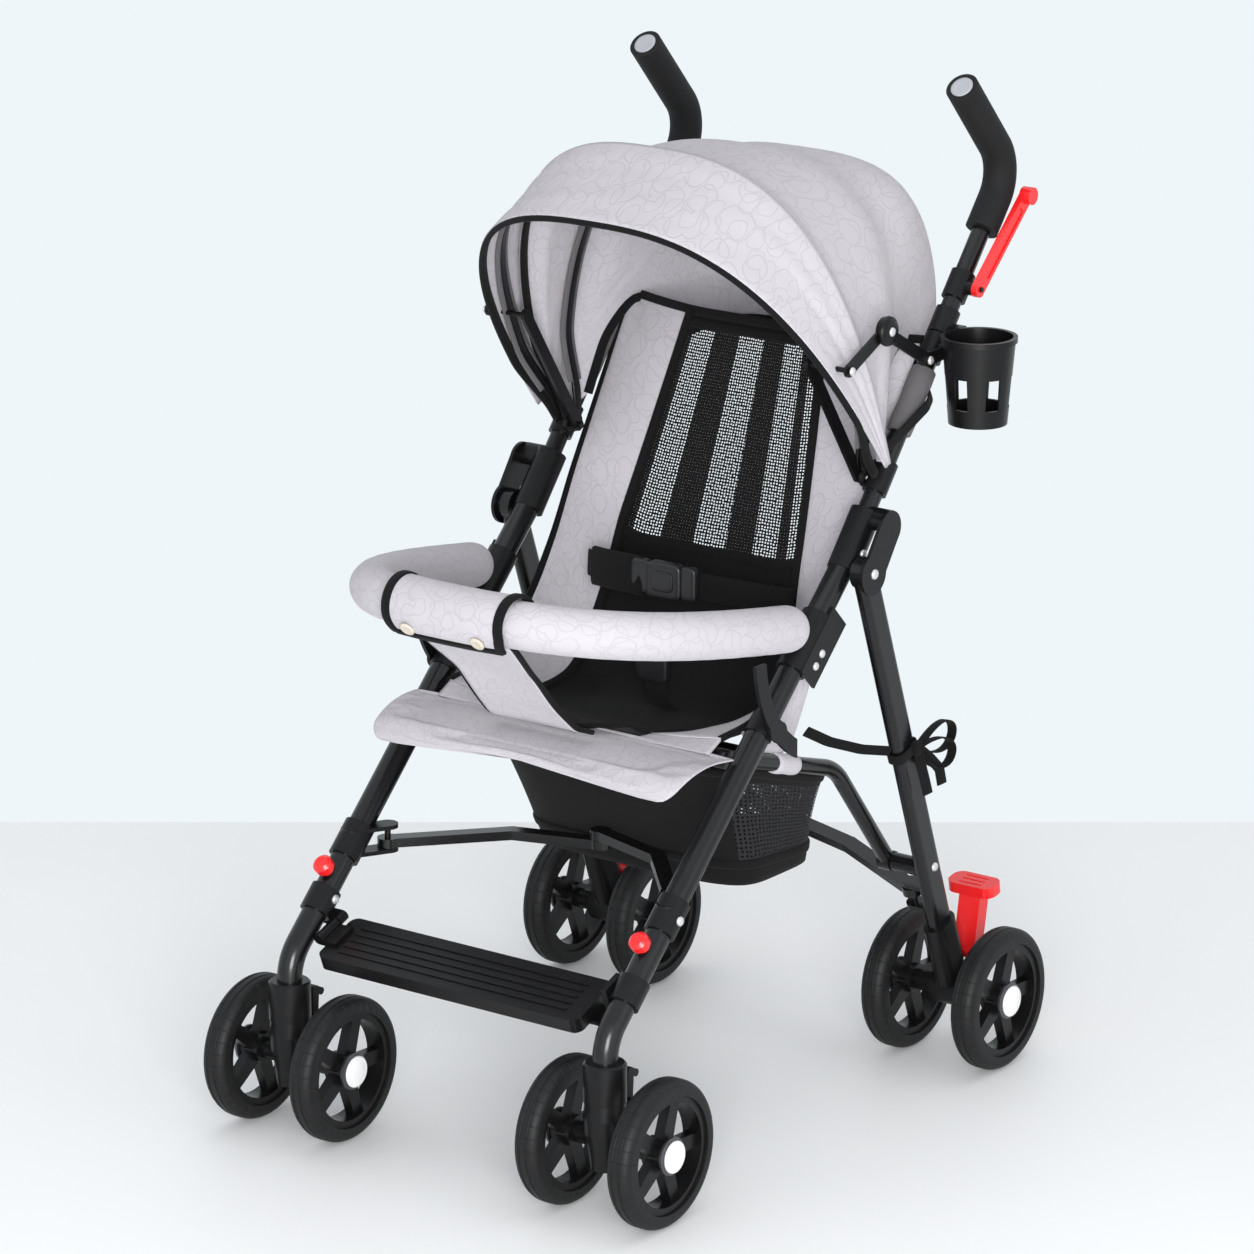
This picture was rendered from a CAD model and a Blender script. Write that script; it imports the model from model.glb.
"""Looks of the umbrella stroller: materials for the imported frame, and the cloth, pads, straps, rivets and caps
that the frame's plain solids stand in for. Lengths are in metres in the row frame."""
import bpy
import numpy as np
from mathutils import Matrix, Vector


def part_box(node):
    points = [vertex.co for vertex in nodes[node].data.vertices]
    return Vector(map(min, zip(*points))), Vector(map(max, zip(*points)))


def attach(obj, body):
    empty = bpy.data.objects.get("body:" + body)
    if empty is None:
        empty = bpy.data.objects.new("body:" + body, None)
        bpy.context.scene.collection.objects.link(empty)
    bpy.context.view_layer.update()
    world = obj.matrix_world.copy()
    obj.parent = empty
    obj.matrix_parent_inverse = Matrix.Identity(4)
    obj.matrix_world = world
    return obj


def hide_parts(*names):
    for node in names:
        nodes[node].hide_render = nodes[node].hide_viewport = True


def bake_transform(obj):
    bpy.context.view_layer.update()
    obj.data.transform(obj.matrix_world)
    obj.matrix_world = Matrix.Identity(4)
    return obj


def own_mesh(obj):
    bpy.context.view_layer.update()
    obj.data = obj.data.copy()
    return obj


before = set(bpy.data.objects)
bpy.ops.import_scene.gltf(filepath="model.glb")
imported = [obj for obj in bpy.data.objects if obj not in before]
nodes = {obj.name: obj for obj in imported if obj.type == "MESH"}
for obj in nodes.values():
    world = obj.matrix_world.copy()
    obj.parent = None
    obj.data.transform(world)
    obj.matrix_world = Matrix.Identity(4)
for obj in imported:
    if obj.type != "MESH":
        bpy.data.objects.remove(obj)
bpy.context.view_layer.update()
SIDES = {"left": 1, "right": -1}


# Tubes of the frame: front legs, handle tubes, rear legs and seat rails.
# Steel tube with a smooth black powder coat, in which the studio lights draw long soft streaks.

def node(tree, kind, sockets, **options):
    """Adds a shader node with its options, and gives each socket, by name or place, a value or a link from another
    node's output."""
    made = tree.nodes.new(f"ShaderNode{kind}")
    for key, value in options.items():
        setattr(made, key, value)
    for key, value in sockets.items():
        if isinstance(value, bpy.types.NodeSocket):
            tree.links.new(value, made.inputs[key])
        else:
            made.inputs[key].default_value = value
    return made


def shader(name, colour, rough, vary=0.25, vary_scale=30.0, grain_scale=700.0, grain=0.04, **sockets):
    """Principled material in Object coordinates: a slow noise drifts its colour by the share vary and its
    roughness by half of that, and a fine noise of the given scale is its bump."""
    made = bpy.data.materials.new(name)
    made.use_nodes = True
    tree = made.node_tree
    bsdf = tree.nodes["Principled BSDF"]
    for key, value in sockets.items():
        bsdf.inputs[key.replace("_", " ")].default_value = value
    place = node(tree, "TexCoord", {}).outputs["Object"]
    drift = node(tree, "TexNoise", {"Vector": place, "Scale": vary_scale, "Detail": 4.0}).outputs["Fac"]
    low = (*[max(0.0, c * (1 - vary)) for c in colour], 1)
    high = (*[min(1.0, c * (1 + vary)) for c in colour], 1)
    tint = node(tree, "Mix", {"Factor": drift, 6: low, 7: high}, data_type="RGBA")
    gloss = node(tree, "MapRange", {"Value": drift, "To Min": rough * (1 - vary / 2),
                                    "To Max": min(1.0, rough * (1 + vary / 2))})
    fine = node(tree, "TexNoise", {"Vector": place, "Scale": grain_scale, "Detail": 3.0})
    bump = node(tree, "Bump", {"Height": fine.outputs["Fac"], "Strength": grain, "Distance": 0.001})
    tree.links.new(tint.outputs[2], bsdf.inputs["Base Color"])
    tree.links.new(gloss.outputs["Result"], bsdf.inputs["Roughness"])
    tree.links.new(bump.outputs["Normal"], bsdf.inputs["Normal"])
    return made


def paint(made, *names):
    """Gives CAD nodes a material; a name without a side stands for both sides."""
    for name in names:
        for part in [name] if name in nodes else [f"{side}_{name}" for side in SIDES]:
            nodes[part].data.materials.clear()
            nodes[part].data.materials.append(made)


powder = shader("black_powder_coat", (0.0050, 0.0050, 0.0055), 0.22, 0.3, 25, 1500, 0.03, Specular_IOR_Level=0.40)
paint(powder, "front_leg", "handle_tube", "rear_leg", "seat_rail", "front_link", "rear_link")


# Moulded black fittings: hinge brackets, clips, forks, stays, rims and the swivel locks.
# Glass filled plastic with a fine spark eroded grain.

plastic = shader("black_plastic", (0.0055, 0.0055, 0.0060), 0.33, 0.25, 60, 2200, 0.06, Specular_IOR_Level=0.22)
paint(plastic, "hinge_bracket", "tube_clips", "fork", "swivel_lock", "rear_hub", "bow_arm", "stay_front", "stay_back",
      "front_rims", "rear_rims", "cup_holder", "footrest")


# Red fittings: fold lock lever, brake pedals and the push knobs on the legs.
# Bright moulded plastic with a light gloss.

red = shader("red_plastic", (0.80, 0.012, 0.014), 0.34, 0.08, 40, 900, 0.03, Coat_Weight=0.2)
paint(red, "lock_lever", "brake_pedal", "knob")


# Wheels: tyres of solid foam rubber with fine lines across the tread, and white caps over the axle ends.
# The lines lie on planes through the axle, so the material turns Object coordinates into an angle.

TREAD_LINES = 36.0


def rubber(name, centre):
    """Tyre material: bump from narrow lines at even angles about the X line through centre, and a fine noise."""
    made = shader(name, (0.0080, 0.0080, 0.0085), 0.52, 0.3, 90, 1200, 0.1, Specular_IOR_Level=0.25)
    tree = made.node_tree
    normal = tree.nodes["Principled BSDF"].inputs["Normal"]
    place = node(tree, "TexCoord", {}).outputs["Object"]
    moved = node(tree, "VectorMath", {0: place, 1: centre}, operation="SUBTRACT")
    split = node(tree, "SeparateXYZ", {"Vector": moved.outputs["Vector"]})
    angle = node(tree, "Math", {0: split.outputs["Y"], 1: split.outputs["Z"]}, operation="ARCTAN2")
    turns = node(tree, "Math", {0: angle.outputs[0], 1: TREAD_LINES}, operation="MULTIPLY")
    wave = node(tree, "Math", {0: turns.outputs[0]}, operation="COSINE")
    line = node(tree, "MapRange", {"Value": wave.outputs[0], "From Min": 0.93, "From Max": 0.99, "To Min": 1.0,
                                   "To Max": 0.0}, interpolation_type="SMOOTHSTEP")
    cut = node(tree, "Bump", {"Height": line.outputs["Result"], "Strength": 0.6, "Distance": 0.0012,
                              "Normal": normal.links[0].from_socket})
    tree.links.new(cut.outputs["Normal"], normal)
    return made


def surface(name, points, mats, around=False, caps=False, zones=None, flip=False, across=None, ring=False):
    """Mesh over a grid of points, rows by columns. around joins the last column to the first, ring the last row to
    the first, caps closes the first and last row by a fan about its mean, zones gives each quad its material, across
    is a value kept per point, and UV are the running lengths of the rows and columns in metres."""
    points = np.asarray(points, float)
    rows, cols = points.shape[:2]
    grid = np.arange(rows * cols).reshape(rows, cols)
    span = points
    if around:
        grid = np.hstack([grid, grid[:, :1]])
        span = np.concatenate([points, points[:, :1]], 1)
    if ring:
        grid = np.vstack([grid, grid[:1]])
        span = np.concatenate([span, span[:1]], 0)
    down = np.cumsum(np.r_[0, np.linalg.norm(np.diff(span, axis=0), axis=2).mean(1)])
    over = np.cumsum(np.r_[0, np.linalg.norm(np.diff(span, axis=1), axis=2).mean(0)])
    uv = np.stack(np.meshgrid(over, down), -1)
    pick = [(0, 0), (0, 1), (1, 1), (1, 0)]
    if flip:
        pick = pick[::-1]
    cut = lambda a, i, j: a[i:a.shape[0] - 1 + i, j:a.shape[1] - 1 + j]
    quads = np.stack([cut(grid, i, j) for i, j in pick], -1).reshape(-1, 4)
    quad_uv = np.stack([cut(uv, i, j) for i, j in pick], -2).reshape(-1, 2)
    verts = points.reshape(-1, 3)
    faces = quads.tolist()
    if caps:
        verts = np.vstack([verts, points[0].mean(0), points[-1].mean(0)])
        for row, middle, turn in ((grid[0], len(verts) - 2, flip), (grid[-1], len(verts) - 1, not flip)):
            a, b = (row[:-1], row[1:]) if turn else (row[1:], row[:-1])
            faces += np.stack([a, b, np.full(len(a), middle)], -1).tolist()
    mesh = bpy.data.meshes.new(name)
    mesh.from_pydata(verts.tolist(), [], faces)
    layer = mesh.uv_layers.new(name="UVMap")
    loops = np.zeros((len(mesh.loops), 2))
    loops[:len(quad_uv)] = quad_uv
    layer.data.foreach_set("uv", loops.ravel())
    mesh.polygons.foreach_set("use_smooth", np.ones(len(mesh.polygons), bool))
    for made in mats if isinstance(mats, (list, tuple)) else [mats]:
        mesh.materials.append(made)
    if zones is not None:
        index = np.zeros(len(mesh.polygons), np.int32)
        index[:len(quads)] = np.asarray(zones).ravel()
        mesh.polygons.foreach_set("material_index", index)
    if across is not None:
        kept = mesh.attributes.new("across", "FLOAT", "POINT")
        values = np.zeros(len(verts))
        values[:rows * cols] = np.asarray(across).ravel()
        kept.data.foreach_set("value", values)
    mesh.update()
    made_object = bpy.data.objects.new(name, mesh)
    bpy.context.scene.collection.objects.link(made_object)
    return made_object


def turned(name, centre, axis, profile, made, sides=32):
    """Surface of revolution about axis through centre: profile is a list of radius and height."""
    axis = np.asarray(axis, float) / np.linalg.norm(axis)
    first = np.cross(axis, [0, 0, 1] if abs(axis[2]) < 0.9 else [1, 0, 0])
    first /= np.linalg.norm(first)
    second = np.cross(axis, first)
    turn = np.linspace(0, 2 * np.pi, sides, endpoint=False)[None, :, None]
    r, h = np.array(profile, float).T
    spokes = np.cos(turn) * first + np.sin(turn) * second
    points = np.asarray(centre) + r[:, None, None] * spokes + h[:, None, None] * axis
    return surface(name, points, made, around=True, caps=True)


white = shader("white_plastic", (0.80, 0.80, 0.80), 0.30, 0.04, 60, 800, 0.02, Coat_Weight=0.3)
steel_dark = shader("dark_steel", (0.10, 0.10, 0.11), 0.35, 0.2, 80, 1200, 0.05, Metallic=0.8)
cap_profile = [(0.0150, 0.0002), (0.0154, 0.0012), (0.0150, 0.0024), (0.0128, 0.0032), (0.0120, 0.0029),
               (0.0112, 0.0032), (0.0060, 0.0038), (0.0012, 0.0040)]
for side, s in SIDES.items():
    for end in ("front", "rear"):
        lo, hi = (np.array(c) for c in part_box(f"{side}_{end}_tyres"))
        middle = (lo + hi) / 2
        paint(rubber(f"{side}_{end}_rubber", middle), f"{side}_{end}_tyres")
        paint(steel_dark, f"{side}_{end}_axle")
        axle_lo, axle_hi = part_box(f"{side}_{end}_axle")
        for which, x, way in (("out", axle_hi[0], 1), ("in", axle_lo[0], -1)):
            cap = turned(f"{side}_{end}_cap_{which}", (x, middle[1], middle[2]), (way, 0, 0), cap_profile, white)
            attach(cap, f"{side}_{end}_wheels")


# Grips: thick sleeves of black foam pushed over the bent ends of the handle tubes.
# Each is closed by a grey disc pressed into the tube's end.

foam = shader("black_foam", (0.0085, 0.0085, 0.009), 0.70, 0.3, 120, 1800, 0.35, Specular_IOR_Level=0.22)
paint(foam, "grip")
disc_grey = shader("grey_disc", (0.36, 0.37, 0.40), 0.42, 0.12, 90, 900, 0.05)
disc_profile = [(0.0108, -0.0004), (0.0112, 0.0008), (0.0104, 0.0016), (0.0080, 0.0012), (0.0010, 0.0013)]
TUBE_X = 0.184
GRIP_END, GRIP_WAY = np.array([TUBE_X, 0.2680, 0.95376]), (0, -0.669131, 0.743145)
for side, s in SIDES.items():
    disc = turned(f"{side}_grip_disc", GRIP_END * (s, 1, 1), GRIP_WAY, disc_profile, disc_grey)
    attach(disc, f"{side}_frame")


# Cloth of the hood, bumper, flap, leg rest and the seat's wings.
# Pale warm grey woven polyester with a faint pressed line motif of loose rounded loops.

def cloth(name, colour, motif=0.5, weave=0.22, sheen=0.2):
    """Woven cloth in UV: thin rounded loops round the scattered points of two turned cell patterns are its pressed
    motif, two crossed waves its weave, and a slow noise mottles its colour; sheen lifts the grazing edges."""
    made = bpy.data.materials.new(name)
    made.use_nodes = True
    tree = made.node_tree
    bsdf = tree.nodes["Principled BSDF"]
    for socket, value in (("Roughness", 0.86), ("Sheen Weight", sheen), ("Sheen Roughness", 0.5),
                          ("Specular IOR Level", 0.12)):
        bsdf.inputs[socket].default_value = value
    uv = node(tree, "TexCoord", {}).outputs["UV"]

    def noise(scale, detail):
        """Noise over the cloth's UV."""
        return node(tree, "TexNoise", {"Vector": uv, "Scale": scale, "Detail": detail}).outputs["Fac"]

    def math(kind, *values):
        """One step of arithmetic on values or outputs."""
        return node(tree, "Math", dict(enumerate(values)), operation=kind).outputs[0]

    pale = (*[min(1, c * 1.05) for c in colour], 1)
    deep = (*[c * 0.94 for c in colour], 1)
    shown = node(tree, "Mix", {"Factor": noise(9.0, 5.0), 6: deep, 7: pale}, data_type="RGBA").outputs[2]
    threads = [node(tree, "TexWave", {"Vector": uv, "Scale": 260.0, "Distortion": 0.6},
                    bands_direction=way).outputs["Fac"] for way in ("X", "Y")]
    fine = math("ADD", math("MAXIMUM", *threads), math("MULTIPLY", noise(800.0, 3.0), 0.8))
    height = math("MULTIPLY", fine, weave)
    if motif > 0:
        plain = None
        for scale, turn, size in ((52.0, 0.4, 0.40), (41.0, 1.2, 0.43)):
            turned_uv = node(tree, "Mapping", {"Vector": uv, "Rotation": (0, 0, turn)})
            cells = node(tree, "TexVoronoi", {"Vector": turned_uv.outputs["Vector"], "Exponent": 3.0, "Scale": scale,
                                              "Randomness": 0.75}, voronoi_dimensions="2D", distance="MINKOWSKI")
            off = math("ABSOLUTE", math("SUBTRACT", cells.outputs["Distance"], size))
            off_line = node(tree, "MapRange", {"Value": off, "From Min": 0.008, "From Max": 0.035},
                            interpolation_type="SMOOTHSTEP").outputs["Result"]
            plain = off_line if plain is None else math("MINIMUM", plain, off_line)
        dark = (*[c * (1 - 0.20 * motif) for c in colour], 1)
        shown = node(tree, "Mix", {"Factor": plain, 6: dark, 7: shown}, data_type="RGBA").outputs[2]
        height = math("ADD", math("MULTIPLY", plain, 1.6 * motif), height)
    bump = node(tree, "Bump", {"Height": height, "Strength": 0.35, "Distance": 0.0012})
    tree.links.new(shown, bsdf.inputs["Base Color"])
    tree.links.new(bump.outputs["Normal"], bsdf.inputs["Normal"])
    return made


GREY = (0.495, 0.473, 0.508)
grey_cloth = cloth("grey_cloth", GREY)
seam_cloth = cloth("grey_seam", tuple(0.72 * c for c in GREY), 0.0)
tape = cloth("black_tape", (0.0065, 0.0065, 0.007), 0.0, 0.5, sheen=0.03)
sleeve_cloth = cloth("grey_sleeve", (0.12, 0.115, 0.12), 0.0, 0.4, sheen=0.1)
snap_beige = shader("beige_snap", (0.60, 0.53, 0.45), 0.38, 0.06, 60, 700, 0.03)


# Hood: one cloth arch in two panels, sewn to tape and sleeves over bows that turn on the clips of the handle tubes.
# The front panel turns with the front bow and slides over the rear panel; cloth dips a little between the bows.

PIVOT = np.array([0.0, 0.130525, 0.603])
REACH, HALF_W, ARCH, BACK_IN = 0.322, 0.197, 2.8, 0.0300
SEAM_DROP, BACK_SWELL, BACK_FALL, BACK_BOX = 0.018, 0.038, 0.048, 1.6


def smooth(t):
    """Step from 0 to 1 without corners: three squares less two cubes of t."""
    t = np.clip(t, 0, 1)
    return t * t * (3 - 2 * t)


def hood(slope, arch, off=0.0):
    """Points of the hood: an arch of power ARCH from side to side at the angle arch, turned about the pivots' line
    to slope, both in degrees, and moved out by off. The reach drops behind the seam, swells again over the seat's
    top edge and falls off as a square behind 95 degrees. Behind 98 the arch narrows, so that the cloth passes inside
    the handle tubes, and behind 109 it grows boxier."""
    slope, arch, off = np.broadcast_arrays(np.asarray(slope, float), np.asarray(arch, float), off)
    c, s = np.cos(np.radians(arch)), np.sin(np.radians(arch))
    reach = REACH - SEAM_DROP * smooth((slope - 68) / 22) + BACK_SWELL * smooth((slope - 104) / 20)
    reach = reach - BACK_FALL * (np.clip(slope - 95, 0, None) / 37) ** 2
    behind = smooth((slope - 98) / 28)
    power = 2 / (ARCH + BACK_BOX * smooth((slope - 109) / 20))
    r = (reach + off) * np.abs(s) ** power
    x = (HALF_W - BACK_IN * behind + off) * np.sign(c) * np.abs(c) ** power
    a = np.radians(slope)
    return np.stack([x, PIVOT[1] - r * np.cos(a), PIVOT[2] + r * np.sin(a)], -1)


def tuck(path, share, over):
    """Draws a bow's ends in: x shrinks by share up to 20 mm from the pivots' line, and less and less over the next
    stretch."""
    far = np.linalg.norm(path[:, 1:] - PIVOT[1:], axis=1)
    path[:, 0] *= 1 - share * (1 - smooth((far - 0.02) / over))
    return path


def arch_angles(low, count):
    """Arch angles from low to 180 - low, closer together near the ends where the arch is steep."""
    t = np.linspace(0, 1, count)
    return low + (180 - 2 * low) * (t - 0.10 * np.sin(2 * np.pi * t))


def ruffle(a, b, seed):
    """Slow cloth waver in metres: a sum of five sines of the two parameters."""
    rng = np.random.default_rng(seed)
    total = 0
    for _ in range(5):
        ka, kb, phase = rng.uniform(2, 9), rng.uniform(2, 9), rng.uniform(0, 6.28)
        total = total + np.sin(ka * a + kb * b + phase) / 5
    return total


def folding(obj, body, *replaced):
    """A soft piece that rides on a body and narrows towards the right side as the frame folds."""
    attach(obj, body)
    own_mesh(obj)
    if replaced:
        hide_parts(*replaced)
    return obj


def thicken(obj, thickness, offset=-1.0):
    """Live Solidify of the given thickness that closes a sheet's rim."""
    solid = obj.modifiers.new("thickness", "SOLIDIFY")
    solid.thickness = thickness
    solid.offset = offset
    solid.use_even_offset = False
    return obj


def declare_sheet(obj, points, around=False):
    """Declares a cloth by its cut: the longest row and column of its grid are the flat size, and the grid's own
    area is the flat area. around closes the rows first."""
    if around:
        points = np.concatenate([points, points[:, :1]], 1)
    return obj


def sewn(name, points, made, thick, body, held, rests_on, *replaced, flip=False, offset=-1.0):
    """Sheet of cloth on a body: the grid's surface made thick, narrowing with the fold and declared by its cut."""
    piece = folding(thicken(surface(name, points, made, flip=flip), thick, offset), body, *replaced)
    return declare_sheet(piece, points)


def to_one(way):
    """Directions scaled to length one."""
    return way / np.linalg.norm(way, axis=-1, keepdims=True)


def ribbon(name, path, across, width, thick, made, sides=12, closed=False):
    """Closed tape along a path: a flat oval width by thick, the wide way along across at each point."""
    path = np.asarray(path, float)
    across = np.broadcast_to(np.asarray(across, float), path.shape)
    along = np.gradient(path, axis=0)
    if closed:
        along = np.roll(path, -1, 0) - np.roll(path, 1, 0)
    along = to_one(along)
    wide = to_one(across - (across * along).sum(1, keepdims=True) * along)
    deep = np.cross(along, wide)
    turn = np.linspace(0, 2 * np.pi, sides, endpoint=False)
    c, s = np.cos(turn), np.sin(turn)
    flat = np.sign(c) * np.abs(c) ** 0.6
    full = np.sign(s) * np.abs(s) ** 0.6
    half_w = np.broadcast_to(np.asarray(width, float) / 2, (len(path),))
    half_t = np.broadcast_to(np.asarray(thick, float) / 2, (len(path),))
    points = (path[:, None] + (half_w[:, None] * flat)[..., None] * wide[:, None]
              + (half_t[:, None] * full)[..., None] * deep[:, None])
    return surface(name, points, made, around=True, caps=not closed, flip=True, ring=closed)


def taped(name, path, way, width, thick, **shape):
    """Black tape sewn to cloth: a ribbon on the right frame side that narrows with the fold."""
    return folding(ribbon(name, path, way, width, thick, tape, **shape), "right_frame")


FRONT_A, SEAM_A, FRONT_OUT, REAR_IN, HOOD_CLOTH = 52.0, 71.0, 0.0056, -0.0095, 0.0022
arch = arch_angles(1.2, 121)
arch_s = np.sin(np.radians(arch))
back_a = 118 + 38 * smooth((arch_s - 0.10) / 0.30)

t = np.linspace(0, 1, 30)[:, None]
slope = FRONT_A + (SEAM_A + 1.0 - FRONT_A) * t
between = np.sin(np.pi * t)
dip = (-0.005 * arch_s ** 0.5 + 0.0010 * ruffle(4 * t, np.radians(arch), 3)) * between
sewn("hood_front_panel", hood(slope, arch, FRONT_OUT + dip), grey_cloth, HOOD_CLOTH, "right_canopy", "stretched",
     ("hood_rim_binding", "mid_bow_tape"), "hood_front")

t = np.linspace(0, 1, 64)[:, None]
slope = SEAM_A - 1.5 + (back_a - SEAM_A + 1.5) * t
lift = 0.0125 * (1 - smooth((slope - SEAM_A) / 7))
between = np.sin(np.pi * t)
dip = (-0.002 * arch_s ** 0.5 + 0.0010 * ruffle(5 * t, 1.4 * np.radians(arch), 8)) * between
sewn("hood_rear_panel", hood(slope, arch, REAR_IN + lift + dip), grey_cloth, HOOD_CLOTH, "right_frame", "stretched",
     ("mid_bow_tape", "rear_sleeve"), "hood_rear")

PIPING_OUT, RIM_OUT = 0.0066, 0.0044
seam = hood(SEAM_A + 0.6, arch, PIPING_OUT)
seam_way = hood(SEAM_A + 1.6, arch, PIPING_OUT) - seam
folding(ribbon("hood_seam_piping", seam, seam_way, 0.0036, 0.0024, seam_cloth), "right_canopy")
rim_arch = arch_angles(0.25, 121)
rim = tuck(hood(FRONT_A + 0.2, rim_arch, RIM_OUT), 0.075, 0.07)
rim_way = hood(FRONT_A + 1.4, rim_arch, RIM_OUT) - hood(FRONT_A + 0.2, rim_arch, RIM_OUT)
folding(ribbon("hood_rim_binding", rim, rim_way, 0.0100, 0.0056, tape), "right_canopy", "front_bow")
hem = hood(back_a - 0.3, arch, REAR_IN - 0.001)
taped("hood_back_binding", hem, hood(back_a + 0.8, arch, REAR_IN - 0.001) - hem, 0.0090, 0.0046)

for name, slope, body, made, width, low, off, swapped in (
        ("mid_bow_tape", SEAM_A - 3, "mid_bow", tape, 0.0100, 0.35, -0.0045, ("mid_bow",)),
        ("front_sleeve", FRONT_A + 7, "right_canopy", sleeve_cloth, 0.0200, 4.0, 0.0000, ()),
        ("front_sleeve_tail", FRONT_A + 7, "right_canopy", plastic, 0.0110, 0.35, -0.0005, ()),
        ("rear_sleeve", 91.0, "right_frame", sleeve_cloth, 0.0200, 4.0, -0.0160, ()),
        ("rear_sleeve_tail", 91.0, "right_frame", plastic, 0.0110, 0.35, -0.0165, ())):
    angles = arch_angles(low, 97)
    path = tuck(hood(slope, angles, off), 0.085, 0.08)
    way = hood(slope + 1.0, angles, off) - hood(slope, angles, off)
    folding(ribbon(name, path, way, width, 0.0040, made), body, *swapped)


# Seat: a slung bucket of cloth between the tubes. Its back has a bound window of black mesh with open stripes,
# the base is black mesh over foam, and the grey wings wrap from the window to the tubes.

def mesh_cloth(name, stripes, closed_hole, thread=0.0060, pitch=0.0030):
    """Black net: round holes on a staggered grid in UV, wider inside the stripes given as shares of the across
    value, let the light through."""
    made = cloth(name, (thread, thread, 1.08 * thread), 0.0, 0.6, sheen=0.04)
    tree = made.node_tree
    uv = node(tree, "TexCoord", {}).outputs["UV"]
    size = node(tree, "Mapping", {"Vector": uv, "Scale": (1 / pitch, 1 / pitch, 1 / pitch)})
    cells = node(tree, "TexVoronoi", {"Vector": size.outputs["Vector"], "Scale": 1.0, "Randomness": 0.25},
                 voronoi_dimensions="2D")
    value = node(tree, "Attribute", {}, attribute_name="across").outputs["Fac"]
    inside = 0.0
    for low, high in stripes:
        band = node(tree, "Math", {0: value, 1: (low + high) / 2, 2: (high - low) / 2}, operation="COMPARE")
        inside = node(tree, "Math", {0: inside, 1: band.outputs[0]}, operation="MAXIMUM").outputs[0]
    radius = node(tree, "MapRange", {"Value": inside, "To Min": closed_hole, "To Max": 0.29})
    hole = node(tree, "Math", {0: cells.outputs["Distance"], 1: radius.outputs["Result"]}, operation="LESS_THAN")
    clear = node(tree, "BsdfTransparent", {})
    mix = node(tree, "MixShader", {"Fac": hole.outputs[0], 1: tree.nodes["Principled BSDF"].outputs["BSDF"],
                                   2: clear.outputs["BSDF"]})
    tree.links.new(mix.outputs["Shader"], tree.nodes["Material Output"].inputs["Surface"])
    return made


window_net = mesh_cloth("window_net", ((0.06, 0.22), (0.40, 0.58), (0.73, 0.86), (0.92, 1.0)), 0.05)
base_net = cloth("base_net", (0.0075, 0.0075, 0.008), 0.0, 0.9, sheen=0.05)


def line_through(points, count):
    """Points at even steps along a polyline, its corners eased by a moving mean."""
    points = np.asarray(points, float)
    run = np.r_[0, np.cumsum(np.linalg.norm(np.diff(points, axis=0), axis=1))]
    fine = np.linspace(0, run[-1], 400)
    dense = np.stack([np.interp(fine, run, points[:, k]) for k in range(points.shape[1])], -1)
    ease = np.ones(31) / 31
    wide = np.concatenate([2 * dense[:1] - dense[15:0:-1], dense, 2 * dense[-1:] - dense[-2:-17:-1]])
    dense = np.stack([np.convolve(wide[:, k], ease, "valid") for k in range(points.shape[1])], -1)
    run = np.r_[0, np.cumsum(np.linalg.norm(np.diff(dense, axis=0), axis=1))]
    at = np.linspace(0, run[-1], count)
    return np.stack([np.interp(at, run, dense[:, k]) for k in range(points.shape[1])], -1)


SEAT_ROWS = 90
middle_line = line_through([(-0.0815, 0.386), (-0.055, 0.380), (-0.010, 0.366), (0.035, 0.360), (0.068, 0.364),
                            (0.092, 0.392), (0.106, 0.440), (0.1205, 0.503), (0.1985, 0.716)], SEAT_ROWS)
edge_line = line_through([(-0.0815, 0.397), (-0.040, 0.400), (0.015, 0.416), (0.060, 0.460), (0.095, 0.505),
                          (0.1215, 0.548), (0.1765, 0.632), (0.2300, 0.716)], SEAT_ROWS)
rise = middle_line[:, 1]
inner = np.interp(np.arange(SEAT_ROWS) / (SEAT_ROWS - 1), [0, 0.05, 0.10, 0.17, 0.35, 0.5, 0.60, 0.97, 1],
                  [0.074, 0.090, 0.103, 0.114, 0.118, 0.108, 0.104, 0.080, 0.078])
outer = np.interp(np.arange(SEAT_ROWS) / (SEAT_ROWS - 1), [0, 0.3, 0.6, 1], [0.158, 0.162, 0.168, 0.172])


def seat_points(rows, share):
    """Points of the seat at the given rows: share runs from -1 to 1, with -0.5 to 0.5 across the inner panel, and
    the sides swing from the middle line to the edge line by a power of the way out."""
    rows = np.asarray(rows)[:, None]
    size = np.abs(share)[None, :]
    x = np.where(size <= 0.5, 2 * size * inner[rows], inner[rows] + (2 * size - 1) * (outer[rows] - inner[rows]))
    w = np.clip((x - 0.75 * inner[rows]) / (outer[rows] - 0.75 * inner[rows]), 0, 1) ** 1.5
    y = middle_line[rows, 0] * (1 - w) + edge_line[rows, 0] * w
    z = middle_line[rows, 1] * (1 - w) + edge_line[rows, 1] * w
    return np.stack([x * np.sign(share)[None, :], y, z], -1)


band_low = int(np.argmin(np.abs(rise[45:] - 0.470))) + 45
band_high = int(np.argmin(np.abs(rise[45:] - 0.503))) + 45
window_top = int(np.argmin(np.abs(rise - 0.705)))
share = np.linspace(-0.5, 0.5, 31)
every = np.arange(SEAT_ROWS)
for name, low, high, made, thick, replaced in (
        ("seat_base_net", 0, band_low, base_net, 0.0040, ("seat",)),
        ("seat_belt_band", band_low, band_high, tape, 0.0045, ()),
        ("seat_window_net", band_high, window_top, window_net, 0.0, ()),
        ("seat_top_band", window_top, SEAT_ROWS - 1, tape, 0.0045, ())):
    panel_points = seat_points(every[low:high + 1], share)
    panel = surface(name, panel_points, made, across=np.broadcast_to(share + 0.5, panel_points.shape[:2]))
    if thick:
        thicken(panel, thick)
    folding(panel, "right_frame", *replaced)
    declare_sheet(panel, panel_points)

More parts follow.
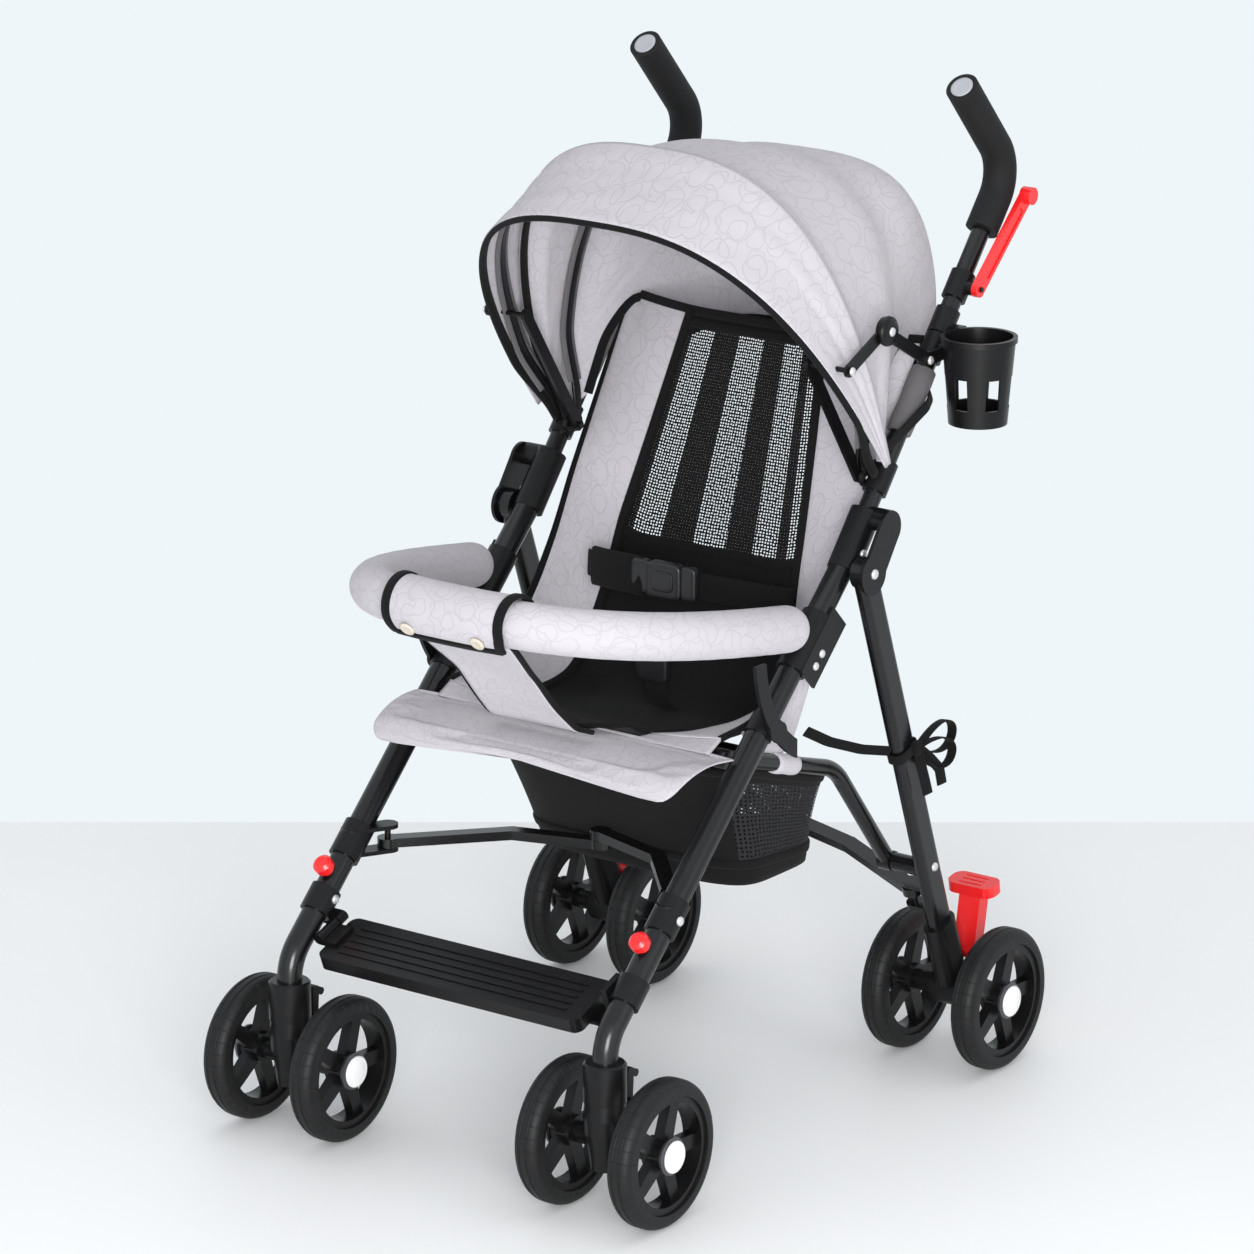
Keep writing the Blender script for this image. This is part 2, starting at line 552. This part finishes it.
for side, s in SIDES.items():
    out = np.linspace(0.5, 1.0, 21) * s
    face = seat_points(every, out)
    lift = to_one(np.cross(np.gradient(face, axis=0), np.gradient(face, axis=1)) * s)
    plump = (np.sin(np.pi * np.linspace(0, 1, 21)) ** 0.6)[None, :, None] * np.minimum(
        1, np.sin(np.pi * np.linspace(0, 1, SEAT_ROWS)) * 4)[:, None, None]
    front = face - lift * (0.001 + 0.0055 * plump)
    back = face + lift * (0.001 + 0.0035 * plump)
    shell = np.concatenate([front, back[:, ::-1]], 1)
    wing = surface(f"seat_wing_{side}", shell, grey_cloth, around=True, caps=True, flip=s > 0)
    folding(wing, "right_frame")
    edge = seat_points(every, np.array([0.5 * s]))[:, 0]
    way = seat_points(every, np.array([0.52 * s]))[:, 0] - edge
    taped(f"seat_binding_{side}", edge - lift[:, 0] * 0.002, way, 0.0085, 0.0070)
    rim_edge = seat_points(every, np.array([1.0 * s]))[:, 0]
    rim_way = rim_edge - seat_points(every, np.array([0.97 * s]))[:, 0]
    taped(f"seat_edge_binding_{side}", rim_edge, rim_way, 0.0070, 0.0060)
inner_share, full_share = np.linspace(-0.5, 0.5, 41), np.linspace(-1, 1, 81)
for name, row, over, thick in (("seat_band_binding", band_high, inner_share, 0.0070),
                               ("seat_window_binding", window_top, inner_share, 0.0070),
                               ("seat_top_binding", SEAT_ROWS - 1, full_share, 0.0060)):
    line = seat_points([row], over)[0]
    taped(name, line, seat_points([row - 1], over)[0] - line, 0.0090, thick)


# Seat front: the black base runs on as a rounded apron over the leg rest's back edge,
# and grey laps join the leg rest to the wings on both sides of it.

t = np.linspace(0, 1, 16)[:, None]
u = np.linspace(-1, 1, 31)[None, :]
apron_half = 0.074 * np.sqrt(1 - 0.75 * t ** 2)
back_row = seat_points([0], 0.5 * u[0])[0]
apron_y = back_row[:, 1][None, :] - 0.0365 * t * (1 - 0.25 * u ** 4)
apron_z = back_row[:, 2][None, :] + 0.0110 * smooth(t / 0.6) - 0.0030 * t ** 4
apron_points = np.stack([apron_half * u, apron_y, apron_z], -1)
sewn("seat_apron", apron_points, base_net, 0.0022, "right_frame", "laid", ("leg_rest_pad",), flip=True)
rim = np.concatenate([apron_points[:-1, 0], apron_points[-1], apron_points[-2::-1, -1]])
taped("seat_apron_binding", rim, (0, 0, 1), 0.0050, 0.0062)
for side, s in SIDES.items():
    joined = seat_points([0], np.linspace(0.5, 1.0, 21) * s)[0]
    lap_y = joined[:, 1][None, :] * (1 - t) - 0.1010 * t
    lap_z = joined[:, 2][None, :] * (1 - t) + 0.3872 * t
    lap_points = np.stack([joined[:, 0][None, :] + 0 * t, lap_y, lap_z], -1)
    sewn(f"leg_rest_lap_{side}", lap_points, grey_cloth, 0.0020, "right_frame", "stretched",
         ("leg_rest_pad", f"seat_wing_{side}"), flip=s > 0)


# Leg rest: a flat padded board of cloth ahead of the seat's front edge, plump in the middle and thin at its rim.
# Its back edge lies under the seat's apron and is sewn to the laps beside it.

def puff(obj, pressure, cap, frames=20):
    """Cloth swelling: the mesh is inflated for some frames without gravity, each point moves cap at most, and the
    result is written back to the mesh."""
    scene = bpy.context.scene
    rest = np.empty(len(obj.data.vertices) * 3)
    obj.data.vertices.foreach_get("co", rest)
    sim = obj.modifiers.new("puff", "CLOTH")
    sim.settings.quality = 6
    sim.settings.mass = 0.3
    sim.settings.tension_stiffness = 25
    sim.settings.compression_stiffness = 25
    sim.settings.shear_stiffness = 15
    sim.settings.bending_stiffness = 0.8
    sim.settings.use_pressure = True
    sim.settings.uniform_pressure_force = pressure
    sim.settings.effector_weights.gravity = 0
    sim.point_cache.frame_start = 1
    sim.point_cache.frame_end = frames
    for number in range(1, frames + 1):
        scene.frame_set(number)
    shaped = obj.evaluated_get(bpy.context.evaluated_depsgraph_get())
    moved = np.empty_like(rest)
    shaped.data.vertices.foreach_get("co", moved)
    obj.modifiers.remove(sim)
    scene.frame_set(1)
    step = (moved - rest).reshape(-1, 3)
    size = np.linalg.norm(step, axis=1, keepdims=True)
    step *= np.minimum(1, cap / np.maximum(size, 1e-9))
    obj.data.vertices.foreach_set("co", (rest.reshape(-1, 3) + step).ravel())
    obj.data.update()
    return obj


def soften(obj, levels=1):
    """One level of smoothing, the same in the view and the render."""
    sub = obj.modifiers.new("soft", "SUBSURF")
    sub.levels = sub.render_levels = levels
    return obj


t = np.linspace(0, 1, 40)[:, None]
u = np.linspace(-1, 1, 81)[None, :]
corner = np.sqrt(1 - 0.92 * np.clip(1 - t / 0.16, 0, 1) ** 2)
REST_HALF, REST_BACK, REST_DEPTH = 0.186, -0.0960, 0.0925
half = REST_HALF - 0.020 * (1 - corner) - 0.010 * (1 - t)
y = REST_BACK - REST_DEPTH * (1 - t) + 0 * u
z = 0.3850 - 0.007 * (1 - t) ** 2 - 0.007 * np.clip(1 - t / 0.18, 0, 1) ** 2 + 0.003 * np.sin(np.pi * t) + 0 * u
z = z - 0.006 * np.abs(u) ** 5 * (1 - t)
crown = (1 - np.abs(u) ** 10) ** 0.7 * np.minimum(1, 4.5 * np.minimum(t, 1 - t) + 0.10) ** 0.7
top = np.stack([half * u, y, z + 0.0012 + 0.0048 * crown], -1)
under = np.stack([half * u, y, z - 0.0012 - 0.0038 * crown], -1)
rest_shell = np.concatenate([top, under[:, ::-1]], 1)
rest_pad = surface("leg_rest_pad", rest_shell, grey_cloth, around=True, caps=True, flip=True)
puff(rest_pad, 3.0, 0.005)
folding(soften(rest_pad), "right_frame", "leg_rest")


# Bumper bar: a U of foam in a sewn cloth sleeve, clipped to the front legs at both ends.
# The sleeve puckers a little along the outside of the bend.

BAR_END = (0.028, 0.4837)
BAR_FRONT = (-0.273475, 0.535)
f = np.linspace(0, np.pi, 141)
c, s_f = np.cos(f), np.sin(f)
bar_r = np.clip(s_f, 0, 1) ** 0.62
bar_path = np.stack([TUBE_X * np.sign(c) * np.abs(c) ** (2 / ARCH),
                     BAR_END[0] - bar_r * (BAR_END[0] - BAR_FRONT[0]),
                     BAR_END[1] + bar_r * (BAR_FRONT[1] - BAR_END[1])], -1)
keep = bar_path[:, 1] < BAR_END[0] - 0.026
bar_path = line_through(bar_path[keep], 120)
along = to_one(np.gradient(bar_path, axis=0))
lift = np.array([0, 0.169, 0.986])
turn = np.linspace(0, 2 * np.pi, 40, endpoint=False)
side_way = to_one(np.cross(along, lift))
up_way = np.cross(side_way, along)
run = np.linspace(0, 1, len(bar_path))
close = np.minimum(1, np.minimum(run, 1 - run) * 60) ** 0.5
bar_half = 0.0222 * (0.80 + 0.20 * close)
pucker = 1 + 0.012 * np.sin(26 * 2 * np.pi * run)[:, None] * (0.5 + 0.5 * np.cos(turn + np.pi))[None, :] ** 2
ring = np.cos(turn)[None, :, None] * side_way[:, None] + np.sin(turn)[None, :, None] * up_way[:, None]
bar = surface("bumper_bar", bar_path[:, None] + (bar_half[:, None] * pucker)[..., None] * ring, grey_cloth,
              around=True, caps=True, flip=True)
puff(bar, 1.5, 0.005)
folding(soften(bar), "right_frame", "bumper")


# Crotch flap: cloth laid over the bar's middle, its bound hem closed by two snaps in front.
# A bound tongue runs from it down to the leg rest, between the child's legs.

def bar_round(angle, x, off):
    """Points round the bar: angle in degrees from straight back over the top, at x across, off from its middle."""
    angle, x = np.broadcast_arrays(np.radians(angle), x)
    at = np.interp(np.abs(x), [0, 0.03, 0.066, 0.09], [0, 0.0004, 0.004, 0.009])
    return np.stack([x, BAR_FRONT[0] + at + off * np.cos(angle), BAR_FRONT[1] + off * np.sin(angle)], -1)


FLAP_HALF, FLAP_OUT, SNAP_TURN, SNAP_OUT = 0.064, 0.0262, 216.0, 0.0276
snap_profile = [(0.0072, -0.0004), (0.0076, 0.0008), (0.0070, 0.0018), (0.0050, 0.0022), (0.0040, 0.0019),
                (0.0008, 0.0020)]
x = np.linspace(-1, 1, 33)[None, :] * FLAP_HALF
around_bar = np.linspace(-40, 238, 61)[:, None]
hem_drop = np.clip((around_bar - 200) / 38, 0, 1)
flap_points = bar_round(around_bar, x * (1 - 0.06 * hem_drop), FLAP_OUT + 0.0015 * hem_drop)
sewn("crotch_flap_wrap", flap_points, grey_cloth, 0.0016, "right_frame", "draped", ("bumper_bar",), "crotch_flap",
     flip=True)
for name, path, way in (
        ("flap_binding_right", flap_points[:, 0], flap_points[:, 1] - flap_points[:, 0]),
        ("flap_binding_left", flap_points[:, -1], flap_points[:, -1] - flap_points[:, -2]),
        ("flap_binding_hem", flap_points[-1], flap_points[-1] - flap_points[-2])):
    taped(name, path, way, 0.0100, 0.0042)
for k, x_snap in (("right", -0.040), ("left", 0.040)):
    middle = bar_round(SNAP_TURN, np.array(x_snap), SNAP_OUT)
    way = bar_round(SNAP_TURN, np.array(x_snap), SNAP_OUT + 0.01) - middle
    folding(turned(f"flap_snap_{k}", middle, way, snap_profile, snap_beige), "right_frame")
t = np.linspace(0, 1, 40)
tongue_line = line_through([(-0.2640, 0.5115), (-0.2450, 0.4960), (-0.2125, 0.4700), (-0.1830, 0.4350),
                            (-0.1580, 0.4080), (-0.1370, 0.3975)], 40)
tongue_half = 0.054 - 0.009 * smooth(2.5 * t) + 0.005 * smooth(2 * t - 1)
u = np.linspace(-1, 1, 25)
bow_down = -0.006 * np.sin(np.pi * t)[:, None] * (u ** 2)[None, :]
tongue_points = np.stack([tongue_half[:, None] * u, tongue_line[:, :1] + 0 * u, tongue_line[:, 1:] + bow_down], -1)
sewn("crotch_tongue", tongue_points, grey_cloth, 0.0030, "right_frame", "hung", ("crotch_flap_wrap", "leg_rest_pad"))
for name, k, inside in (("tongue_binding_right", 0, 1), ("tongue_binding_left", -1, -2)):
    taped(name, tongue_points[:, k], tongue_points[:, k] - tongue_points[:, inside], 0.0090, 0.0050)


# Waist belt: two webbing arms from the seat back's band, the right one padded, joined by a side release buckle,
# and a crotch strap with its own half of the buckle on the seat base.

buckle_plastic = shader("buckle_plastic", (0.012, 0.012, 0.013), 0.33, 0.2, 120, 1500, 0.05)


def soft_box(name, centre, axes, size, power, made, rows=21, cols=32):
    """Rounded block: a superellipsoid of the given power, size along three axes."""
    v = np.linspace(-np.pi / 2, np.pi / 2, rows)[1:-1][:, None]
    w = np.linspace(0, 2 * np.pi, cols, endpoint=False)[None, :]
    grow = lambda a: np.sign(a) * np.abs(a) ** (2 / power)
    level = grow(np.cos(v))
    local = np.stack([level * grow(np.cos(w)), level * grow(np.sin(w)), grow(np.sin(v)) + 0 * w], -1)
    axes = np.asarray(axes, float)
    return surface(name, np.asarray(centre) + (local * np.asarray(size) / 2) @ axes, made, around=True, caps=True)


BELT_HALF, BELT_BULGE, BUCKLE_Z = 0.1196, 0.042, 0.494
belt_x = np.linspace(-BELT_HALF, BELT_HALF, 61)
belt_in = 1 - (belt_x / BELT_HALF) ** 2
belt_path = np.stack([belt_x, 0.0880 - BELT_BULGE * belt_in ** 0.9, 0.482 + 0.012 * belt_in], -1)
for name, part in (("belt_right", slice(0, 27)), ("belt_left", slice(34, 61))):
    taped(name, belt_path[part], (0, 0.1, 1), 0.026, 0.0022)
pad_part = belt_path[4:26] + np.array([0, -0.003, 0])
ends = np.minimum(1, 6 * np.sin(np.pi * np.linspace(0.02, 0.98, len(pad_part)))) ** 0.5
belt_pad = ribbon("belt_pad", pad_part, (0, 0.1, 1), 0.038 * ends, 0.0085 * ends, tape, 20)
folding(belt_pad, "right_frame")
unit = np.eye(3)
for name, place, size, power, swapped in (
        ("buckle_body", (0.004, 0.0440, BUCKLE_Z), (0.040, 0.0125, 0.036), 6, ("harness",)),
        ("buckle_prong_right", (-0.024, 0.0455, BUCKLE_Z), (0.022, 0.0100, 0.034), 5, ()),
        ("buckle_prong_left", (0.031, 0.0455, BUCKLE_Z), (0.018, 0.0100, 0.034), 5, ()),
        ("buckle_face", (0.004, 0.0374, BUCKLE_Z), (0.026, 0.0030, 0.020), 4, ()),
        ("crotch_buckle", (0.0, 0.0305, 0.4140), (0.036, 0.0120, 0.034), 6, ()),
        ("crotch_buckle_tongue", (0.0, 0.0300, 0.4350), (0.024, 0.0080, 0.020), 5, ())):
    folding(soft_box(name, place, unit, size, power, buckle_plastic), "right_frame", *swapped)
strap_line = line_through([(0.0560, 0.3650), (0.0440, 0.3680), (0.0360, 0.3780), (0.0320, 0.4020)], 24)
strap = np.stack([0 * strap_line[:, 0], strap_line[:, 0], strap_line[:, 1]], -1)
taped("crotch_strap", strap, (1, 0, 0), 0.024, 0.0022)


# Basket: a slung tub of black cloth hung on the seat rails, rounded at its corners and sagging between them.
# Its sides and back are net, and its lip and floor seam are taped.

basket_cloth = cloth("basket_cloth", (0.0065, 0.0065, 0.007), 0.0, 0.5, sheen=0.04)
basket_net = mesh_cloth("basket_net", (), 0.28, 0.020, 0.0044)
levels = np.linspace(0, 1, 30)[:, None]
ring_angle = np.linspace(0, 2 * np.pi, 72, endpoint=False)[None, :]
cx, cy = np.cos(ring_angle), np.sin(ring_angle)
square = lambda a: np.sign(a) * np.abs(a) ** 0.42
floor_share = 0.34
wall = np.clip((levels - floor_share) / (1 - floor_share), 0, 1)
spread = np.where(levels < floor_share, (0.06 + 0.94 * (levels / floor_share) ** 0.8), 1.0)
FLOOR_Z, MIDDLE_Y = 0.2195, 0.0635
half_x = (0.127 + 0.0225 * wall ** 0.8) * spread
front_y = -0.0035 - 0.0630 * wall ** 1.15
back_y = 0.1305 + 0.0085 * np.sin(np.pi * wall * 0.75)
mid_y = MIDDLE_Y + ((front_y + back_y) / 2 - MIDDLE_Y) * spread
half_y = (back_y - front_y) / 2 * spread
lip = 0.3520 - 0.0460 * smooth((square(cy) + 1) / 2)
bottom = FLOOR_Z - 0.0060 * (1 - np.clip(levels / floor_share, 0, 1) ** 2)
z = np.where(levels < floor_share, bottom + 0 * cx, FLOOR_Z + (lip - FLOOR_Z) * wall ** 0.95)
sag = 0.006 * np.sin(np.pi * wall) * np.abs(square(cx) * 0.6 + 0.4)
tub = np.stack([(half_x - sag) * square(cx), mid_y + (half_y - 0.6 * sag) * square(cy), z], -1)
net_part = (np.sin(ring_angle + np.pi / 72) > -0.60) & (levels[:-1] > floor_share + 0.10) & (levels[:-1] < 0.93)
basket = surface("basket_tub", tub, [basket_cloth, basket_net], around=True, zones=np.where(net_part, 1, 0))
thicken(basket, 0.0014)
folding(basket, "right_frame", "basket")
declare_sheet(basket, tub, around=True)
for name, row in (("basket_lip", -1), ("basket_seam", int(30 * (floor_share + 0.12)))):
    taped(name, tub[row], tub[row] - tub[row - 1], 0.0100, 0.0040, sides=10, closed=True)


# Tie: a thin black ribbon, knotted in a bow round the left rear leg.
# One end runs on to the seat's corner, where it is sewn on.

def bow_loop(centre, reach, lift, size):
    """Loop of ribbon: a drop shape of the given size that leaves its centre along reach and leans to lift."""
    w = np.linspace(0, 2 * np.pi, 49)
    out = size * (1 - np.cos(w)) / 2
    high = 0.42 * size * np.sin(w) * np.sqrt((1 - np.cos(w)) / 2 + 1e-9)
    return np.asarray(centre) + out[:, None] * np.asarray(reach) + high[:, None] * np.asarray(lift)


leg_dir = np.array([0, -0.3360, 0.9419])
leg_side = np.array([0, 0.9419, 0.3360])
leg_mid = np.array([0.2064, 0.1486, 0.3360])
knot = leg_mid + np.array([0.0115, 0.0085, 0.0030])
round_turn = np.linspace(0, 2 * np.pi, 60, endpoint=False)
c, s_r = np.cos(round_turn), np.sin(round_turn)
band = (leg_mid + (0.0090 * np.sign(c) * np.abs(c) ** 0.5)[:, None] * np.array([1.0, 0, 0])
        + (0.0172 * np.sign(s_r) * np.abs(s_r) ** 0.7)[:, None] * leg_side)
tie_band = ribbon("tie_band", band, leg_dir, 0.0110, 0.0014, tape, 10, closed=True)
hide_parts("tie_ribbon")
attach(tie_band, "left_rear_leg")
for name, reach, lift, size in (("tie_loop_up", (0.18, 0.96, 0.16), (0.1, -0.15, 0.98), 0.048),
                                ("tie_loop_low", (0.24, 0.90, -0.34), (0.1, 0.34, 0.93), 0.046)):
    loop = bow_loop(knot, reach, lift, size)
    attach(ribbon(name, loop, (0.95, -0.25, 0.15), 0.0130, 0.0014, tape, 8), "left_rear_leg")
for name, ends in (
        ("tie_end_back", [(0, 0, 0), (0.006, 0.012, -0.012), (0.008, 0.026, -0.026), (0.006, 0.034, -0.044)]),
        ("tie_end_front", [(0, 0, 0), (0.005, -0.002, -0.014), (0.007, 0.002, -0.030), (0.006, 0.010, -0.048)])):
    hanging = knot + line_through(ends, 24)
    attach(ribbon(name, hanging, (0.5, 0.8, 0.3), 0.0105, 0.0012, tape, 8), "left_rear_leg")
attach(soft_box("tie_knot", knot, unit, (0.011, 0.014, 0.014), 3, tape), "left_rear_leg")
tail_from, tail_to = (0.1625, 0.0500, 0.3720), (0.2040, 0.1312, 0.3395)
tail_line = line_through([tail_from, (0.172, 0.075, 0.357), (0.189, 0.105, 0.345), tail_to], 40)
tail = ribbon("tie_tail", tail_line, (0.1, -0.35, 0.93), 0.0110, 0.0014, tape, 8)
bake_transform(tail)


# Seat sides: grey skirts from the wings down to the seat rails, held there by sewn sleeves,
# and grey sleeves with a recline webbing where the hood's back is laced to the handle tubes.

RAIL_WAY, HANDLE_WAY = np.array([0.0, 0.9563, -0.2925]), (0, 0.62932, 0.77715)
RAIL_END_Y, RAIL_END_Z, RAIL_FALL = -0.0813, 0.3780, 0.306


def rail_height(y):
    """Height of a seat rail's middle line ahead of its bend: a straight fall from its front end, at y."""
    return RAIL_END_Z - RAIL_FALL * (y - RAIL_END_Y)


def tube_sleeve(name, start, way, length, radius, made, body):
    """Sewn sleeve round a tube: a thin barrel with drawn in ends."""
    waist = [(radius - 0.0014, 0.0), (radius, 0.0012), (radius + 0.0004, 0.2 * length),
             (radius - 0.0002, 0.5 * length), (radius + 0.0004, 0.8 * length), (radius, length - 0.0012),
             (radius - 0.0014, length)]
    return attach(turned(name, start, way, waist, made, 40), body)


for side, s in SIDES.items():
    rows = every[6:50]
    high = seat_points(rows, np.array([0.995 * s]))[:, 0] + np.array([0, 0, -0.002])
    drop = 1 - smooth((high[:, 1] - 0.010) / 0.075)
    low_z = high[:, 2] - (high[:, 2] - rail_height(high[:, 1]) - 0.0095) * (0.04 + 0.96 * drop)
    low = np.stack([np.full(len(rows), 0.1590 * s), high[:, 1], low_z], -1)
    t = np.linspace(0, 1, 16)[:, None, None]
    skirt_points = high * (1 - t) + low * t
    skirt_points[..., 0] += s * 0.0045 * np.sin(np.pi * t[..., 0]) * (1 + 0.25 * np.sin(40 * high[:, 1]))
    sewn(f"seat_skirt_{side}", skirt_points, grey_cloth, 0.0016, "right_frame", "hung", (f"seat_wing_{side}",),
         flip=s > 0, offset=0.0)
    place = np.array([0.160 * s, 0.0000, rail_height(0.0)])
    tube_sleeve(f"rail_sleeve_{side}", place, RAIL_WAY, 0.036, 0.0098, grey_cloth, f"{side}_rail")
    tube_sleeve(f"handle_sleeve_{side}", (TUBE_X * s, 0.1680, 0.6401), HANDLE_WAY, 0.068, 0.0120, sleeve_cloth,
                f"{side}_frame")
    lace = line_through([(0.1990 * s, 0.1220, 0.6340), (0.2010 * s, 0.1560, 0.6500), (0.2015 * s, 0.1900, 0.6640),
                         (0.1960 * s, 0.2060, 0.6710), (0.1840 * s, 0.2100, 0.6740)], 40)
    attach(ribbon(f"recline_webbing_{side}", lace, (0, -0.42, 0.91), 0.0120, 0.0018, tape), f"{side}_frame")


# Rivets and screws: pale zinc heads on the outer faces of the brackets, links and clips.
# Larger black knobs cover the elbows of the hood's stays.

rivet_profile = [(0.0046, -0.0006), (0.0046, 0.0008), (0.0038, 0.0020), (0.0020, 0.0027), (0.0006, 0.0028)]
knob_profile = [(0.0138, 0.0000), (0.0144, 0.0015), (0.0140, 0.0042), (0.0118, 0.0060), (0.0070, 0.0066),
                (0.0010, 0.0067)]
zinc = shader("zinc_rivet", (0.62, 0.62, 0.63), 0.32, 0.1, 120, 900, 0.03, Metallic=0.6)


def rivet(name, body, centre, axis, scale=1.0):
    """Domed head of a rivet on a face, its base sunk a little into it."""
    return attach(turned(name, centre, axis, [(r * scale, h * scale) for r, h in rivet_profile], zinc, 24), body)


for side, s in SIDES.items():
    frame_side, arm = f"{side}_frame", "right_canopy" if s < 0 else "left_canopy_arm"
    knob = turned(f"{side}_stay_knob", (s * 0.2098, 0.1065, 0.7540), (s, 0, 0), knob_profile, plastic)
    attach(knob, f"{side}_stay_back")
    for name, body, x, y, z, scale in (
            ("hinge_rivet_low", frame_side, 0.2173, 0.0805, 0.5275, 1.1),
            ("hinge_rivet_high", frame_side, 0.1990, 0.0885, 0.5420, 1.0),
            ("clip_rivet", frame_side, 0.1760, 0.1305, 0.6030, 1.0),
            ("rear_leg_rivet", f"{side}_rear_leg", 0.2134, 0.1960, 0.2080, 1.0),
            ("stay_knob_rivet", f"{side}_stay_back", 0.2163, 0.1065, 0.7540, 0.95),
            ("stay_front_rivet", arm, 0.2120, 0.0483, 0.7272, 0.9),
            ("stay_back_rivet", frame_side, 0.2072, 0.1855, 0.7100, 0.9),
            ("bracket_rivet_low", frame_side, 0.1990, 0.0119, 0.4514, 0.9),
            ("bracket_rivet_high", frame_side, 0.1990, 0.0220, 0.4612, 0.9)):
        rivet(f"{side}_{name}", body, (s * x, y, z), (s, 0, 0), scale)
rivet("foot_rivet_right", "right_frame", (-0.1690, -0.2456, 0.2195), (1, 0, 0))
rivet("foot_rivet_left", "left_frame", (0.1990, -0.2023, 0.2615), (1, -0.07, 0.07))


# Studio: a pale floor that ends behind the stroller, a very pale wall colour beyond it for what looks past the
# floor, and large soft lights. The camera stands where the photograph was taken.

CAM_AZ, CAM_EL, CAM_D = np.radians(36.2979), np.radians(16.3735), 5.5713
CAM_AT = np.array([0.0096, -0.0255, 0.4653])
away = np.array([np.sin(CAM_AZ) * np.cos(CAM_EL), -np.cos(CAM_AZ) * np.cos(CAM_EL), np.sin(CAM_EL)])
to_right = np.array([np.cos(CAM_AZ), np.sin(CAM_AZ), 0.0])
to_back = np.array([-np.sin(CAM_AZ), np.cos(CAM_AZ), 0.0])


def look(obj, place, at):
    """Puts an object at place with its -Z towards at and no roll."""
    obj.location = place
    obj.rotation_euler = (Vector(at) - Vector(place)).to_track_quat("-Z", "Y").to_euler()


camera = bpy.data.objects.new("camera", bpy.data.cameras.new("camera"))
camera.data.sensor_width = 36.0
camera.data.lens = 170.2
camera.data.clip_end = 60
bpy.context.scene.collection.objects.link(camera)
look(camera, CAM_AT + away * CAM_D, CAM_AT)
bpy.context.scene.camera = camera

floor_made = shader("pale_floor", (0.92, 0.93, 0.935), 0.55, 0.02, 3, 200, 0.004)
FLOOR_BACK, FLOOR_FRONT, FLOOR_HALF = 0.80, 6.0, 6.0
corners = [[to_back * b + to_right * r for r in (-FLOOR_HALF, FLOOR_HALF)] for b in (-FLOOR_FRONT, FLOOR_BACK)]
floor = surface("floor", np.array(corners) + np.array([0, 0, -0.0004]), floor_made)

for name, place, size, power in (("front_light", 4.2 * away + 0.2 * to_right, 1.6, 146),
                                 ("key_light", -1.5 * to_right + 3.0 * away + np.array([0, 0, 0.7]), 2.8, 10),
                                 ("fill_light", 2.2 * to_right + 2.4 * away + np.array([0, 0, 0.3]), 2.6, 10),
                                 ("top_light", np.array([0, 0.2, 3.0]), 2.6, 16)):
    light = bpy.data.lights.new(name, "AREA")
    light.size = size
    light.energy = power
    lamp = bpy.data.objects.new(name, light)
    bpy.context.scene.collection.objects.link(lamp)
    look(lamp, place, (0, 0, 0.45))

world = bpy.data.worlds.new("studio")
world.use_nodes = True
bpy.context.scene.world = world
tree = world.node_tree
seen = tree.nodes["Background"]
seen.inputs["Color"].default_value = (0.86, 0.92, 0.95, 1)
seen.inputs["Strength"].default_value = 1.0
lit = node(tree, "Background", {"Color": (0.96, 0.98, 1.0, 1), "Strength": 0.64})
path = node(tree, "LightPath", {})
shown = path.outputs["Is Camera Ray"]
for ray in ("Is Glossy Ray", "Is Transmission Ray"):
    shown = node(tree, "Math", {0: shown, 1: path.outputs[ray]}, operation="MAXIMUM").outputs[0]
mix = node(tree, "MixShader", {"Fac": shown, 1: lit.outputs["Background"], 2: seen.outputs["Background"]})
tree.links.new(mix.outputs["Shader"], tree.nodes["World Output"].inputs["Surface"])
bpy.context.scene.view_settings.view_transform = "Standard"
